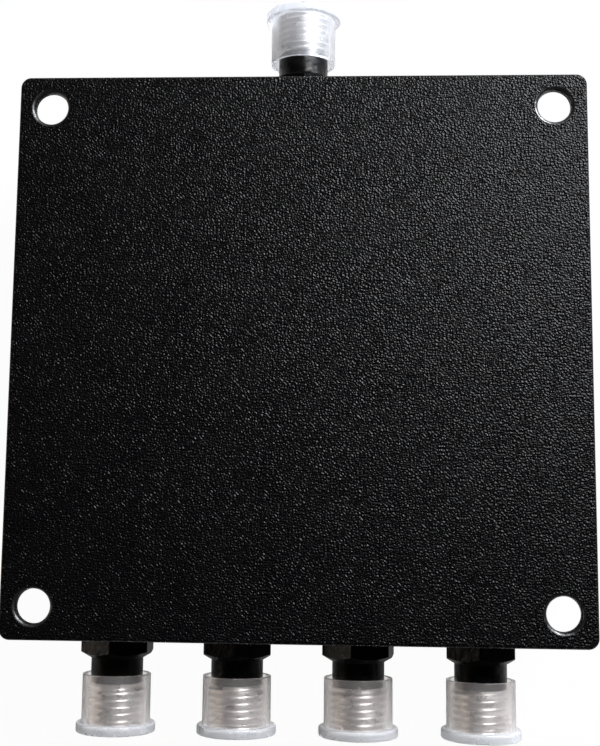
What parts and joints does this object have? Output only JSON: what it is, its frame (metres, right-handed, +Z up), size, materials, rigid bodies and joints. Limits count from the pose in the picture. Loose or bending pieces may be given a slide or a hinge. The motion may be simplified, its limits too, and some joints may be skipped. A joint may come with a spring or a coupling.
{
  "type": "coaxial splitter",
  "caption": "Flat square metal box that splits a coaxial signal from an input jack to a row of output jacks, each under a push-on dust cap, with a mounting hole in every corner.",
  "frame": {"origin": "middle of the cover plate's underside, the plane that the part rests on", "axes": "+Z up through the textured face, +Y towards the input jack, +X to the right when the textured face is seen with the input jack at the top"},
  "size_m": [0.06, 0.0786, 0.015],
  "materials": {
    "black_paint": "satin",
    "jack_metal": "satin",
    "contact_metal": "polished",
    "insulator": "satin",
    "cap_plastic": "gloss",
    "screw_steel": "satin",
    "laminate": "satin",
    "plated_copper": "satin",
    "resistor_body": "satin",
    "solder": "gloss"
  },
  "bodies": {
    "splitter_body": {"housing": "black_paint", "cover_plate": "black_paint", "cover_screws": "screw_steel", "circuit_board": "laminate", "divider_tracks": "plated_copper", "isolation_resistors": "resistor_body", "board_screws": "screw_steel", "solder_joints": "solder", "input_jack_body": "jack_metal", "input_insulator": "insulator", "input_contact": "contact_metal", "output_1_jack_body": "jack_metal", "output_1_insulator": "insulator", "output_1_contact": "contact_metal", "output_2_jack_body": "jack_metal", "output_2_insulator": "insulator", "output_2_contact": "contact_metal", "output_3_jack_body": "jack_metal", "output_3_insulator": "insulator", "output_3_contact": "contact_metal", "output_4_jack_body": "jack_metal", "output_4_insulator": "insulator", "output_4_contact": "contact_metal"},
    "input_cap": {"input_dust_cap": "cap_plastic"},
    "output_1_cap": {"output_1_dust_cap": "cap_plastic"},
    "output_2_cap": {"output_2_dust_cap": "cap_plastic"},
    "output_3_cap": {"output_3_dust_cap": "cap_plastic"},
    "output_4_cap": {"output_4_dust_cap": "cap_plastic"}
  },
  "joints": [
    {"name": "input_cap_slide", "type": "slide", "parent": "splitter_body", "child": "input_cap", "axis": [0, 1, 0], "range_m": [0, 0.012]},
    {"name": "output_1_cap_slide", "type": "slide", "parent": "splitter_body", "child": "output_1_cap", "axis": [0, -1, 0], "range_m": [0, 0.012]},
    {"name": "output_2_cap_slide", "type": "slide", "parent": "splitter_body", "child": "output_2_cap", "axis": [0, -1, 0], "range_m": [0, 0.012]},
    {"name": "output_3_cap_slide", "type": "slide", "parent": "splitter_body", "child": "output_3_cap", "axis": [0, -1, 0], "range_m": [0, 0.012]},
    {"name": "output_4_cap_slide", "type": "slide", "parent": "splitter_body", "child": "output_4_cap", "axis": [0, -1, 0], "range_m": [0, 0.012]}
  ]
}
